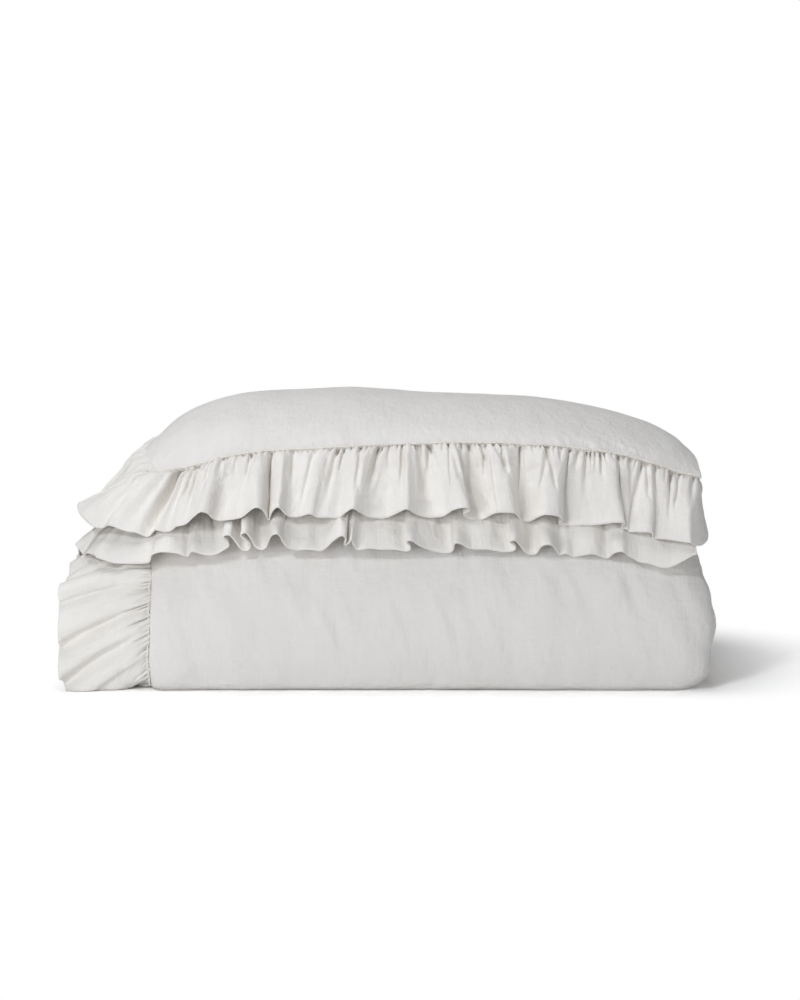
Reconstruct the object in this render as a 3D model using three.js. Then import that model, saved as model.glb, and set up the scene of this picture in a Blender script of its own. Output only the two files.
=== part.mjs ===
// A ruffled duvet cover over its filled duvet, folded back and forth into a soft stack.
// Millimetres. X runs along the stack, -Y is its front, +Z is up, and the origin is on the
// flat underside. The filled duvet is one solid: three thick layers joined by a turn at the
// front (lower and middle layer) and a turn at the back (middle and top layer). The top
// layer ends at the front in two plies. The ruffles are gathered strips, sewn into the
// cover's left and front edges.
import * as THREE from "three";

const LAYER = 103; // thickness of one folded layer at the middle of the stack
const LAYER_GAP = 4; // air between two layers that lie on each other
const END_SINK = 0.13; // share of a layer's thickness that it loses towards the two ends
const TURN_START = -150; // where the front turn starts to bulge forward
const TURN_REACH = 80; // how far the front turn stands out from there
const BACK_START = 150; // the same for the turn at the back
const BACK_REACH = 72;
const CREASE_FRONT = -160; // inner ends of the two creases between the layers
const CREASE_BACK = 165;
const PLY_DROP = 30; // the lower ply's seam below the upper ply's
const LEFT = -262; // the two ends of the stack
const RIGHT = 358;
const RUFFLE_WIDTH = 100; // from the seam to the hem
const CLOTH = 2; // thickness of the gathered, hemmed linen
const SEAM_GAP = 0.9; // from the seam on the duvet to the ruffle's gathered edge

// Along the stack: the top of the crown, and the height and place of the front seam.
const CROWN = [
  { x: -262, crown: 262, seam: 233, seamY: -152 },
  { x: -240, crown: 286, seam: 236, seamY: -156 },
  { x: -212, crown: 304, seam: 243, seamY: -160 },
  { x: -165, crown: 318, seam: 256, seamY: -166 },
  { x: -100, crown: 321, seam: 262, seamY: -172 },
  { x: -45, crown: 323, seam: 265, seamY: -176 },
  { x: 25, crown: 318, seam: 269, seamY: -178 },
  { x: 90, crown: 317, seam: 271, seamY: -178 },
  { x: 167, crown: 311, seam: 268, seamY: -177 },
  { x: 215, crown: 304, seam: 263, seamY: -175 },
  { x: 263, crown: 295, seam: 255, seamY: -172 },
  { x: 310, crown: 281, seam: 242, seamY: -168 },
  { x: 340, crown: 265, seam: 233, seamY: -164 },
  { x: 358, crown: 250, seam: 229, seamY: -160 },
];

// The face of a turn from its foot to its top: rise is a share of the turn's height and
// reach a share of how far it stands out.
const FRONT_TURN = [
  { rise: 0, reach: 0.9 },
  { rise: 0.035, reach: 0.965 },
  { rise: 0.13, reach: 0.99 },
  { rise: 0.31, reach: 1 },
  { rise: 0.5, reach: 0.97 },
  { rise: 0.67, reach: 0.88 },
  { rise: 0.82, reach: 0.7 },
  { rise: 0.94, reach: 0.42 },
  { rise: 1, reach: 0.05 },
];
const BACK_TURN = [
  { rise: 0, reach: 0.15 },
  { rise: 0.06, reach: 0.52 },
  { rise: 0.18, reach: 0.82 },
  { rise: 0.36, reach: 0.98 },
  { rise: 0.54, reach: 1 },
  { rise: 0.72, reach: 0.9 },
  { rise: 0.86, reach: 0.66 },
  { rise: 0.95, reach: 0.34 },
];

// The top of the top layer, from the front seam to the back: share of the crown's rise.
const TOP_PROFILE = [
  { y: -168, share: 0.2 },
  { y: -152, share: 0.4 },
  { y: -128, share: 0.6 },
  { y: -92, share: 0.8 },
  { y: -45, share: 0.94 },
  { y: 15, share: 1 },
  { y: 70, share: 0.98 },
  { y: 115, share: 0.9 },
  { y: 150, share: 0.78 },
];

// How far the right end stands out at each height: a soft fold, widest near the floor.
const RIGHT_END = [
  { z: 0, out: 2 },
  { z: 50, out: 8 },
  { z: 100, out: 0 },
  { z: 150, out: -17 },
  { z: 190, out: -22 },
  { z: 225, out: -13 },
  { z: 260, out: -8 },
];
const LEFT_OVERHANG = 13; // the top layer's left edge stands out over the lower ones

// How the two ends close: over what length they round off, how far each face of a layer
// closes in, and what share of its reach each turn loses. On the right the duvet is folded
// round; on the left its seamed edges lie open.
const LEFT_END = { round: 24, floor: 4, layer: 16, foot: 12, front: 0.14, back: 0.34 };
const ROUND_END = { round: 46, floor: 26, layer: 26, foot: 20, front: 0.34, back: 0.45 };

// The back end of the bottom layer, from its top to the floor.
const BOTTOM_END = [
  { y: 172, rise: 0.96 },
  { y: 196, rise: 0.77 },
  { y: 206, rise: 0.46 },
  { y: 201, rise: 0.16 },
  { y: 186, rise: 0 },
];

// The value of a column at a place between two rows of a table, on a smooth curve.
function lookUp(rows, key, column, at) {
  const last = rows.length - 1;
  const clamped = THREE.MathUtils.clamp(at, rows[0][key], rows[last][key]);
  const i = Math.min(last - 1, Math.max(0, rows.findIndex((row) => row[key] >= clamped) - 1));
  const slope = (k) => {
    const a = rows[Math.max(0, k - 1)];
    const b = rows[Math.min(last, k + 1)];
    return (b[column] - a[column]) / (b[key] - a[key]);
  };
  const span = rows[i + 1][key] - rows[i][key];
  const t = (clamped - rows[i][key]) / span;
  const rise = rows[i + 1][column] - rows[i][column];
  const start = slope(i) * span;
  const end = slope(i + 1) * span;
  return rows[i][column] + t * (start + t * (3 * rise - 2 * start - end + t * (start + end - 2 * rise)));
}

const between = (edge0, edge1, value) => THREE.MathUtils.smoothstep(value, edge0, edge1);

// Places along the stack: close together where the ends round off. closing is 0 along the
// stack and 1 at its very ends.
function stations() {
  const angles = [90, 66, 44, 24];
  const end = (shape, side, edge) =>
    angles.map((degrees) => {
      const angle = THREE.MathUtils.degToRad(degrees);
      const x = edge - side * shape.round * (1 - Math.sin(angle));
      return { x, closing: 1 - Math.cos(angle), shape };
    });
  const first = LEFT + LEFT_END.round;
  const final = RIGHT - ROUND_END.round;
  const spans = 13;
  const middle = Array.from({ length: spans + 1 }, (_, i) => ({
    x: first + ((final - first) * i) / spans,
    closing: 0,
    shape: LEFT_END,
  }));
  return [...end(LEFT_END, -1, LEFT), ...middle, ...end(ROUND_END, 1, RIGHT).reverse()];
}

// One closed back-and-forth section of the folded duvet, as points in Y and Z.
function section({ x, closing, shape }) {
  const crown = lookUp(CROWN, "x", "crown", x);
  const seam = lookUp(CROWN, "x", "seam", x);
  const seamY = lookUp(CROWN, "x", "seamY", x);
  const ends = 1 - between(LEFT, LEFT + 130, x) + between(RIGHT - 130, RIGHT, x);
  const layer = LAYER * (1 - END_SINK * ends);
  const floor = shape.floor * closing;
  const lowerTop = layer - shape.layer * closing;
  const middleFoot = layer + LAYER_GAP + shape.foot * closing;
  const middleTop = 2 * layer - 0.6 * shape.layer * closing;
  const topFoot = 2 * layer + LAYER_GAP + shape.foot * closing;
  const lowerSeam = seam - PLY_DROP;
  const run = [-80, 20, 130]; // places across the flat parts of the layers
  const flat = (z) => run.map((y) => [y, z]);
  const turnReach = TURN_REACH * (1 - shape.front * closing);
  const backReach = BACK_REACH * (1 - shape.back * closing);
  const backTop = seam + (crown - seam) * TOP_PROFILE.at(-1).share;
  const frontTurn = FRONT_TURN.map(({ rise, reach }) => [
    TURN_START - turnReach * reach,
    floor + (middleTop - floor) * rise,
  ]);
  const backTurn = BACK_TURN.map(({ rise, reach }) => [
    BACK_START + backReach * reach,
    middleFoot + (backTop - middleFoot) * rise,
  ]);
  const nose = [
    [-125, topFoot + 1],
    [seamY + 18, lowerSeam - 8 * (1 - closing)],
    [seamY + 7, lowerSeam],
    [seamY + 20, lowerSeam + 9],
    [seamY + 34, lowerSeam + 15],
    [seamY + 14, seam - 7],
    [seamY, seam],
  ];
  const top = TOP_PROFILE.map(({ y, share }) => [
    Math.max(y, seamY + 6 + (y + 168) * 0.8),
    seam + (crown - seam) * share,
  ]);
  const bottomEnd = BOTTOM_END.map(({ y, rise }) => [y, floor + (lowerTop - floor) * rise]);
  return [
    [60, floor],
    [-70, floor],
    ...frontTurn,
    ...flat(middleTop),
    [CREASE_BACK, (middleTop + topFoot) / 2],
    ...flat(topFoot).reverse(),
    ...nose,
    ...top,
    ...backTurn.reverse(),
    ...flat(middleFoot).reverse(),
    [CREASE_FRONT, (lowerTop + middleFoot) / 2],
    ...flat(lowerTop),
    ...bottomEnd,
  ];
}

// Where each point of a section stands along X: the ends bulge and draw in with height.
function placeInX(x, y, z) {
  const nearRight = between(RIGHT - 150, RIGHT, x);
  const nearLeft = 1 - between(LEFT, LEFT + 120, x);
  const overhang = between(165, 205, z) * between(-165, -95, y) * (1 - between(120, 215, y));
  const turnIn = 10 * between(150, 215, y);
  return (
    x +
    nearRight * (lookUp(RIGHT_END, "z", "out", z) - turnIn) -
    nearLeft * (LEFT_OVERHANG * overhang - turnIn)
  );
}

// The rings of the filled duvet, one for each station.
const rings = stations().map((station) =>
  section(station).map(([y, z]) => new THREE.Vector3(placeInX(station.x, y, z), y, z)),
);

// Where the points that carry a seam stand in a section.
const TURN_FOOT = 2;
const TURN_TOP = TURN_FOOT + FRONT_TURN.length - 1;
const MIDDLE_TOP = TURN_TOP + 1;
const TOP_FOOT = MIDDLE_TOP + 4;
const LOWER_SEAM = TOP_FOOT + 5;
const UPPER_SEAM = LOWER_SEAM + 4;
const HEEL = UPPER_SEAM + TOP_PROFILE.length + BACK_TURN.length - 1;

// A closed mesh from rings of points that follow each other, with a flat cap at both ends.
function loft(loops, capTriangles) {
  const count = loops[0].length;
  const position = loops.flat().flatMap((p) => [p.x, p.y, p.z]);
  const index = [];
  for (let ring = 0; ring + 1 < loops.length; ring += 1) {
    for (let j = 0; j < count; j += 1) {
      const a = ring * count + j;
      const b = ring * count + ((j + 1) % count);
      index.push(a, b + count, b, a, a + count, b + count);
    }
  }
  const lastRing = (loops.length - 1) * count;
  for (const [a, b, c] of capTriangles) {
    index.push(a, b, c);
    index.push(lastRing + a, lastRing + c, lastRing + b);
  }
  const geometry = new THREE.BufferGeometry();
  geometry.setAttribute("position", new THREE.Float32BufferAttribute(position, 3));
  geometry.setIndex(index);
  return geometry;
}

function duvetGeometry() {
  const outline = rings[0].map((p) => new THREE.Vector2(p.y, p.z));
  const turnsLeft = THREE.ShapeUtils.area(outline) > 0;
  const triangles = THREE.ShapeUtils.triangulateShape(outline, []);
  const caps = turnsLeft ? triangles : triangles.map(([a, b, c]) => [a, c, b]);
  return loft(rings, caps);
}

// A row of a ruffle's route: the place on the seam, the way the ruffle leaves it, the side
// that faces away from the duvet, how steeply the sheet dips in degrees, and the extra slope
// with which its hem droops.
const row = (at, place, out, normal, dip, droop = 0) => ({ at, place, out, normal, dip, droop });

const UP = new THREE.Vector3(0, 0, 1);
const FRONT = new THREE.Vector3(0, -1, 0);
const LEFTWARD = new THREE.Vector3(-1, 0, 0);

// A level direction turned from the left end (0 degrees) by way of the front (90) to the right.
function heading(degrees) {
  const angle = THREE.MathUtils.degToRad(degrees);
  return new THREE.Vector3(-Math.cos(angle), -Math.sin(angle), 0);
}

// The route at one place: straight between the rows on the seam, and turning evenly.
function alongRoute(route, at) {
  const next = Math.min(route.length - 1, Math.max(1, route.findIndex((r) => r.at >= at)));
  const a = route[next - 1];
  const b = route[next];
  const t = THREE.MathUtils.clamp((at - a.at) / (b.at - a.at), 0, 1);
  const out = a.out.clone().lerp(b.out, t).normalize();
  const normal = a.normal.clone().lerp(b.normal, t).projectOnPlane(out).normalize();
  return {
    place: a.place.clone().lerp(b.place, t),
    out,
    normal,
    along: normal.clone().cross(out),
    dip: THREE.MathUtils.lerp(a.dip, b.dip, t),
    droop: THREE.MathUtils.lerp(a.droop, b.droop, t),
  };
}

// How a ruffle's flutes lift and shift it at one place: lift in degrees, shift in mm.
function flute(folds, at) {
  let lift = 0;
  let shift = 0;
  for (const fold of folds) {
    const across = (at - fold.at) / fold.width;
    if (Math.abs(across) < 1) {
      lift += fold.lift * Math.cos((across * Math.PI) / 2) ** 2;
      shift += (fold.curl ?? 0) * Math.sin(across * Math.PI);
    }
  }
  return { lift, shift };
}

const ACROSS = [0, 0.3, 0.65, 1]; // places across a ruffle, from its seam to its hem
const ROOT_DIP = 0.7; // share of the dip that the sheet already has at the seam

// The middle line of a ruffle from the seam to the hem at one place of its route.
function ruffleLine(route, folds, at) {
  const { place, out, normal, along, dip, droop } = alongRoute(route, at);
  const { lift, shift } = flute(folds, at);
  const point = place.clone().addScaledVector(out, SEAM_GAP);
  const line = [point.clone()];
  for (let i = 1; i < ACROSS.length; i += 1) {
    const middle = (ACROSS[i - 1] + ACROSS[i]) / 2;
    const fall = dip * (ROOT_DIP + (1 - ROOT_DIP) * Math.min(1, 2.2 * middle));
    const angle = THREE.MathUtils.degToRad(fall - lift * Math.min(1, 0.3 + 1.1 * middle));
    const step = out
      .clone()
      .multiplyScalar(Math.cos(angle))
      .addScaledVector(normal, -Math.sin(angle))
      .addScaledVector(UP, -droop * middle)
      .normalize();
    point.addScaledVector(step, RUFFLE_WIDTH * (ACROSS[i] - ACROSS[i - 1]));
    point.z = Math.max(point.z, CLOTH / 2);
    line.push(point.clone().addScaledVector(along, shift * ACROSS[i] ** 1.5));
  }
  return line;
}

// Places along a ruffle that keep each flute's shape and the route's corners, none closer
// together than near.
function rufflePlaces(route, folds, corners) {
  const near = 5;
  const fixed = [route[0].at, ...corners, route.at(-1).at];
  const shape = folds.flatMap(({ at, width }) => [-1, -0.5, 0, 0.5, 1].map((k) => at + k * width));
  const bends = route.map((r) => r.at);
  const places = [...fixed];
  for (const at of [...shape, ...bends]) {
    const inside = at > fixed[0] && at < fixed.at(-1);
    if (inside && places.every((kept) => Math.abs(kept - at) >= near)) places.push(at);
  }
  return places.sort((a, b) => a - b);
}

// The two sides of a ruffle's sheet as closed rings, one ring for each place.
function ruffleGeometry(route, folds, corners) {
  const lines = rufflePlaces(route, folds, corners).map((at) => ruffleLine(route, folds, at));
  const loops = lines.map((line, i) => {
    const before = lines[Math.max(0, i - 1)];
    const after = lines[Math.min(lines.length - 1, i + 1)];
    const sides = line.map((point, j) => {
      const down = line[Math.min(line.length - 1, j + 1)].clone().sub(line[Math.max(0, j - 1)]);
      const side = down.cross(after[j].clone().sub(before[j])).normalize();
      return [
        point.clone().addScaledVector(side, CLOTH / 2),
        point.clone().addScaledVector(side, -CLOTH / 2),
      ];
    });
    const loop = [...sides.map((pair) => pair[1]), ...sides.map((pair) => pair[0]).reverse()];
    loop.forEach((point) => {
      point.z = Math.max(point.z, 0);
    });
    return loop;
  });
  const last = 2 * ACROSS.length - 1;
  const caps = ACROSS.slice(1).flatMap((_, j) => [
    [j, j + 1, last - j - 1],
    [j, last - j - 1, last - j],
  ]);
  return loft(loops, caps);
}

// How steeply each ruffle hangs along the front between its flutes, in degrees.
const DIP = [
  { x: -262, upper: 40, lower: 46 },
  { x: -187, upper: 42, lower: 47 },
  { x: -64, upper: 47, lower: 51 },
  { x: 0, upper: 50, lower: 55 },
  { x: 60, upper: 56, lower: 60 },
  { x: 150, upper: 57, lower: 60 },
  { x: 276, upper: 56, lower: 55 },
  { x: 345, upper: 54, lower: 38 },
];

// The flutes that show along the front: their place along X, how many degrees they lift the
// sheet, half their width, and how far their hem curls over.
const UPPER_FOLDS = [
  { at: -296, lift: 7, width: 20 },
  { at: -252, lift: 9, width: 12 },
  { at: -203, lift: 15, width: 17 },
  { at: -140, lift: 17, width: 13 },
  { at: -120, lift: 16, width: 9 },
  { at: -92, lift: 9, width: 13 },
  { at: -40, lift: 14, width: 17 },
  { at: 21, lift: 16, width: 19 },
  { at: 84, lift: 21, width: 20, curl: 5 },
  { at: 138, lift: 17, width: 18 },
  { at: 175, lift: 18, width: 17, curl: 4 },
  { at: 256, lift: 16, width: 16, curl: 4 },
  { at: 293, lift: 10, width: 14 },
  { at: 333, lift: 9, width: 13 },
];
const LOWER_FOLDS = [
  { at: -292, lift: 8, width: 18 },
  { at: -217, lift: 9, width: 18 },
  { at: -179, lift: 10, width: 14, curl: 5 },
  { at: -157, lift: 10, width: 9, curl: 4 },
  { at: -122, lift: 11, width: 15 },
  { at: -94, lift: 8, width: 11 },
  { at: -47, lift: 10, width: 18, curl: 4 },
  { at: 22, lift: 9, width: 18, curl: 5 },
  { at: 74, lift: 10, width: 19 },
  { at: 136, lift: 11, width: 18, curl: 5 },
  { at: 184, lift: 9, width: 16 },
  { at: 224, lift: 5, width: 12 },
  { at: 248, lift: 8, width: 13 },
  { at: 332, lift: 6, width: 14 },
];

// The side ruffle's flutes down the front turn, from its top: they lift the sheet forward.
const SIDE_FOLDS = [
  { at: 8, lift: 10, width: 22 },
  { at: 58, lift: 9, width: 20 },
  { at: 98, lift: 8, width: 18 },
  { at: 140, lift: 9, width: 20 },
];

// How much the side ruffle's hem hangs below its seam at each height of the front turn.
const SIDE_DROOP = [
  { z: 0, droop: 0 },
  { z: 10, droop: 0.3 },
  { z: 28, droop: 0.6 },
  { z: 80, droop: 0.4 },
  { z: 130, droop: 0.15 },
  { z: 170, droop: 0 },
];

// Flutes of the stretches that don't show from the front: even, and a little irregular.
function evenFolds(from, to, lift) {
  const count = Math.round((to - from) / 46);
  return Array.from({ length: count }, (_, i) => ({
    at: from + ((to - from) * (i + 0.5)) / count + 5 * Math.sin(2.4 * i),
    lift: lift * (1 + 0.25 * Math.sin(1.7 * i + 1)),
    width: 18 + 2.5 * Math.cos(2.1 * i),
  }));
}

const CORNER_FAN = 44; // extra length that is gathered into the front left corner
const CORNER_HEADING = 48; // where the ruffle points at the corner's front side

// Rows along the left edge from its far end, then a fan at the front corner.
function leftRows(points, ply, describe) {
  const [corner] = points;
  let at = LEFT - CORNER_FAN;
  const rows = points.map((point, i) => {
    if (i > 0) at -= point.distanceTo(points[i - 1]);
    const { normal, dip } = describe(point);
    return row(at, point, LEFTWARD, normal, dip);
  });
  const fan = [0.25, 0.5, 0.75, 1].map((share) => {
    const { normal, dip } = describe(corner);
    const place = LEFT - CORNER_FAN * (1 - share);
    const turned = THREE.MathUtils.lerp(dip, DIP[0][ply], share);
    return row(place, corner, heading(CORNER_HEADING * share), normal, turned);
  });
  return [...rows.reverse(), ...fan];
}

// Rows along the front seam of one ply, turning in at both corners.
function frontRows(seam, ply) {
  return rings.slice(1, -1).map((ring) => {
    const place = ring[seam];
    const fromCorner = between(LEFT, LEFT + 42, place.x);
    const toRight = between(RIGHT - 24, RIGHT, place.x);
    const angle = CORNER_HEADING + (90 - CORNER_HEADING) * fromCorner + 45 * toRight;
    return row(place.x, place, heading(angle), UP, lookUp(DIP, "x", ply, place.x));
  });
}

// The upper ply's ruffle: up the turn at the back, along the top's left edge, round the
// front corner, along the front seam and, hanging close, a little way round the right corner.
function upperRoute() {
  const edge = rings[0].slice(UPPER_SEAM, HEEL);
  const left = leftRows(edge, "upper", ({ y, z }) => {
    const behind = between(150, 205, y) * (1 - 0.6 * between(200, 240, z));
    const normal = UP.clone().lerp(FRONT.clone().negate(), behind).normalize();
    return { normal, dip: 50 - 46 * behind };
  });
  const rows = [...left, ...frontRows(UPPER_SEAM, "upper")];
  let { at } = rows.at(-1);
  for (const [i, corner] of rings.at(-1).slice(UPPER_SEAM, UPPER_SEAM + 5).entries()) {
    at += 16;
    const away = heading(150 + 10 * Math.min(3, i));
    const down = away.clone().multiplyScalar(0.12).sub(UP).addScaledVector(FRONT, -0.5).normalize();
    rows.push(row(at, corner.clone().add(away), down, away, 0));
  }
  return rows;
}

// The lower ply's ruffle: along the underside of the top layer's left edge, then as above.
function lowerRoute() {
  const edge = rings[0].slice(TOP_FOOT, LOWER_SEAM + 1).reverse();
  const left = leftRows(edge, "lower", () => ({ normal: UP, dip: 37 }));
  return [...left, ...frontRows(LOWER_SEAM, "lower")];
}

// The side ruffle: along the middle layer's left edge, down the front turn and back under
// the bottom layer. Its place along the route is 0 at the top of the turn.
function sideRoute() {
  const rim = rings[0];
  const over = rim.slice(TURN_TOP, TURN_TOP + 4).reverse();
  const down = rim.slice(TURN_FOOT, TURN_TOP).reverse();
  const under = [rim[1], rim[0], rim.at(-1)];
  const rows = [];
  for (const point of [...over, ...down, ...under]) {
    const last = rows.at(-1);
    const at = last ? last.at + last.place.distanceTo(point) : 0;
    const upward = between(105, 168, point.z) * between(-226, -195, point.y);
    const downward = 1 - between(2, 30, point.z);
    const normal = FRONT.clone()
      .multiplyScalar(1 - Math.max(upward, downward))
      .addScaledVector(UP, upward - downward)
      .normalize();
    const droop = lookUp(SIDE_DROOP, "z", "droop", point.z);
    rows.push(row(at, point, LEFTWARD, normal, 28 * upward, droop));
  }
  const top = rows[over.length - 1].at;
  return rows.map((r) => ({ ...r, at: r.at - top }));
}

const material = (color) => new THREE.MeshStandardMaterial({ color, roughness: 0.9, metalness: 0 });
const WHITE_LINEN = "#e9e8e5";

function piece(name, geometry) {
  const mesh = new THREE.Mesh(geometry, material(WHITE_LINEN));
  mesh.name = name;
  return mesh;
}

function ruffle(name, route, corners, folds) {
  return piece(name, ruffleGeometry(route, folds, corners));
}

const upper = upperRoute();
const lower = lowerRoute();
const side = sideRoute();
const stack = new THREE.Group();
stack.add(
  piece("duvet", duvetGeometry()),
  ruffle("upper_ruffle", upper, [LEFT], [...evenFolds(upper[0].at, -325, 9), ...UPPER_FOLDS]),
  ruffle("lower_ruffle", lower, [LEFT], [...evenFolds(lower[0].at, -325, 9), ...LOWER_FOLDS]),
  ruffle("side_ruffle", side, [0], [
    ...evenFolds(side[0].at, -20, 5),
    ...SIDE_FOLDS,
    ...evenFolds(190, side.at(-1).at, -7),
  ]),
);

export default stack;
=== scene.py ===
import math

import bpy
import numpy as np
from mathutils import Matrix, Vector
from mathutils.geometry import tessellate_polygon
from numpy.linalg import norm


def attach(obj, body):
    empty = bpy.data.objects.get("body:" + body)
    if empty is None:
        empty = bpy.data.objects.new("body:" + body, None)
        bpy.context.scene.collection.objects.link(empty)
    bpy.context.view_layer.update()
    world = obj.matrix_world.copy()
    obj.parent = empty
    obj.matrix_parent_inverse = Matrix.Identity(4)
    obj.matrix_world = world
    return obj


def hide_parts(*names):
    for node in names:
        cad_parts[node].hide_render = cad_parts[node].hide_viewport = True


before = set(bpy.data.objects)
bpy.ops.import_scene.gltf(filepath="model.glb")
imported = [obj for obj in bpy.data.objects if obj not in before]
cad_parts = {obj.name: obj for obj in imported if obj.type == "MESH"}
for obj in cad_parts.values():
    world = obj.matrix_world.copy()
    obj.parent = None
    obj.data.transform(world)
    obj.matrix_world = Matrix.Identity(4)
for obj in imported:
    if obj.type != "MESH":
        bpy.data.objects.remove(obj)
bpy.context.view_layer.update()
mm = 0.001
print("frame loaded")


def ease(low, high, value):
    t = np.clip((np.asarray(value, float) - low) / (high - low), 0, 1)
    return t * t * (3 - 2 * t)


def unit(vectors):
    return vectors / np.maximum(norm(vectors, axis=-1, keepdims=True), 1e-9)


def summed(steps):
    return np.concatenate([[0], np.cumsum(steps)])


def running(points):  # the length of a line from its start to each of its points
    return summed(norm(np.diff(points, axis=0), axis=1))


def columnsAt(at, known, values):  # each column of a table, interpolated at other places
    return np.stack([np.interp(at, known, column) for column in values.T], axis=1)


def blurred(values, reach):  # a running average along the first axis, reach in samples
    count = max(1, int(reach))
    kernel = np.hanning(2 * count + 3)[1:-1]
    kernel /= kernel.sum()
    flat = values.reshape(len(values), -1)
    padded = np.pad(flat, ((count, count), (0, 0)), mode="edge")
    columns = [np.convolve(padded[:, k], kernel, mode="valid") for k in range(flat.shape[1])]
    return np.stack(columns, axis=1).reshape(values.shape)


def hermite(first, rise, start, end, t):  # a cubic from its value, rise and slopes
    return first + t * (start + t * (3 * rise - 2 * start - end + t * (start + end - 2 * rise)))


class Noise3:  # smooth seeded noise from -1 to 1 at any points
    def __init__(self, seed):
        self.table = np.random.default_rng(seed).uniform(-1, 1, 4096)

    def __call__(self, points, size):
        scaled = np.asarray(points, float) / size
        cell = np.floor(scaled).astype(int)
        part = scaled - cell
        part = part * part * (3 - 2 * part)
        total = 0
        for corner in range(8):
            step = np.array([corner & 1, corner >> 1 & 1, corner >> 2 & 1])
            weight = np.prod(np.where(step, part, 1 - part), axis=-1)
            key = (cell + step) @ np.array([73, 179, 283])
            total = total + weight * self.table[key % len(self.table)]
        return total


def placed(name, data):
    obj = bpy.data.objects.new(name, data)
    bpy.context.collection.objects.link(obj)
    return obj


def newObject(name, vertices, faces, uvs=None):
    mesh = bpy.data.meshes.new(name)
    mesh.from_pydata([tuple(v) for v in vertices], [], faces)
    mesh.polygons.foreach_set("use_smooth", [True] * len(mesh.polygons))
    if uvs is not None:
        layer = mesh.uv_layers.new(name="cloth")
        loopVertices = np.empty(len(mesh.loops), int)
        mesh.loops.foreach_get("vertex_index", loopVertices)
        layer.data.foreach_set("uv", uvs[loopVertices].ravel())
    mesh.update()
    return placed(name, mesh)


def ringFaces(first, second):  # quads between rows of closed rings
    corners = [first, np.roll(first, -1, 1), np.roll(second, -1, 1), second]
    return np.stack(corners, axis=-1).reshape(-1, 4).tolist()


def uvsOf(along, across):
    return np.stack(np.broadcast_arrays(along, across), axis=-1).reshape(-1, 2)


def positions(mesh):
    found = np.empty(len(mesh.vertices) * 3)
    mesh.vertices.foreach_get("co", found)
    return found.reshape(-1, 3)


# The folded duvet's own sizes, in millimetres, as in the part's source.
duvetMake = {
    "layer": 103,  # thickness of a folded layer at the middle
    "layerGap": 4,
    "endSink": 0.13,  # share that it loses at the ends, and over what length
    "endFade": 130,
    "turnStart": -150, "turnReach": 80,
    "backStart": 150, "backReach": 72,
    "underside": (60, -70),  # places where a section is flat
    "run": (-80, 20, 130),
    "creaseFront": -160, "creaseBack": 165,
    "plyDrop": 30,  # the lower ply's seam below the upper ply's
    "plySag": 8,  # how far the lower ply hangs under that
    "groove": ((7, 0), (20, 9), (34, 15)),  # behind and above the lower seam
    "left": -262, "right": 358,
    "leftRun": 120,  # how far from each end the ends' own forms reach
    "rightRun": 150,
    "overhang": 13,  # the top layer's left edge over the lower ones, and where
    "over": ((165, 205), (-165, -95), (120, 215)),
    "turnIn": 10,  # how far the back draws in there, and where
    "turnInRun": (150, 215),
}
duvetFine = {  # the visible surface, in millimetres
    "step": 2.4,  # between two rings
    "seen": 5.1,  # round a ring where the cloth shows, near a seam, and elsewhere
    "nearSeam": 2.6,
    "hidden": 19,
    "lower": 6.63,  # at the bottom layer's end
    "frames": 16,
    "skip": 3,  # every third ring is simulated
    "cap": 3,  # how far the filling may push out
    "settled": 5.5,  # how far the crown has sunk, and where
    "crown": (230, 325),
}
# How each end closes: length and stations of its rounding, how far its underside, a layer's top and
# foot draw in, shares that the turns lose, dome and inset of its cap.
endKeys = ("round", "stations", "floor", "layer", "foot", "front", "back", "dome", "inset")
leftShape = dict(zip(endKeys, (24, 9, 4, 16, 12, 0.14, 0.34, 7, 14)))
rightShape = dict(zip(endKeys, (46, 16, 16, 26, 20, 0.34, 0.45, 4, 11)))
domeTurns = (18, 36, 54, 72, 90)  # degrees of the rings in a cap
crownRows = np.array([  # place along the stack, height of the crown, height and place of the seam
    (-262, 262, 233, -152), (-240, 286, 236, -156), (-212, 304, 243, -160), (-165, 318, 256, -166),
    (-100, 321, 262, -172), (-45, 323, 265, -176), (25, 318, 269, -178), (90, 317, 271, -178),
    (167, 311, 268, -177), (215, 304, 263, -175), (263, 295, 255, -172), (310, 281, 242, -168),
    (340, 265, 233, -164), (358, 250, 229, -160),
])
frontTurnRows = np.array([  # share of the turn's height, share of how far it stands out
    (0, 0.9), (0.035, 0.965), (0.13, 0.99), (0.31, 1), (0.5, 0.97), (0.67, 0.88), (0.82, 0.7),
    (0.94, 0.42), (1, 0.05),
])
backTurnRows = np.array([
    (0, 0.15), (0.06, 0.52), (0.18, 0.82), (0.36, 0.98), (0.54, 1), (0.72, 0.9), (0.86, 0.66),
    (0.95, 0.34),
])
topRows = np.array([  # place from front to back, share of the crown's rise
    (-168, 0.2), (-152, 0.4), (-128, 0.6), (-92, 0.8), (-45, 0.94), (15, 1), (70, 0.98), (115, 0.9),
    (150, 0.78),
])
rightEndRows = np.array([  # height, how far the right end stands out there
    (0, -6), (50, 2), (100, -3), (150, -18), (190, -22), (225, -13), (260, -8),
])
bottomEndRows = np.array([  # place at the back, share of the bottom layer's height
    (172, 0.96), (196, 0.77), (206, 0.46), (201, 0.16), (186, 0),
])


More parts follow.
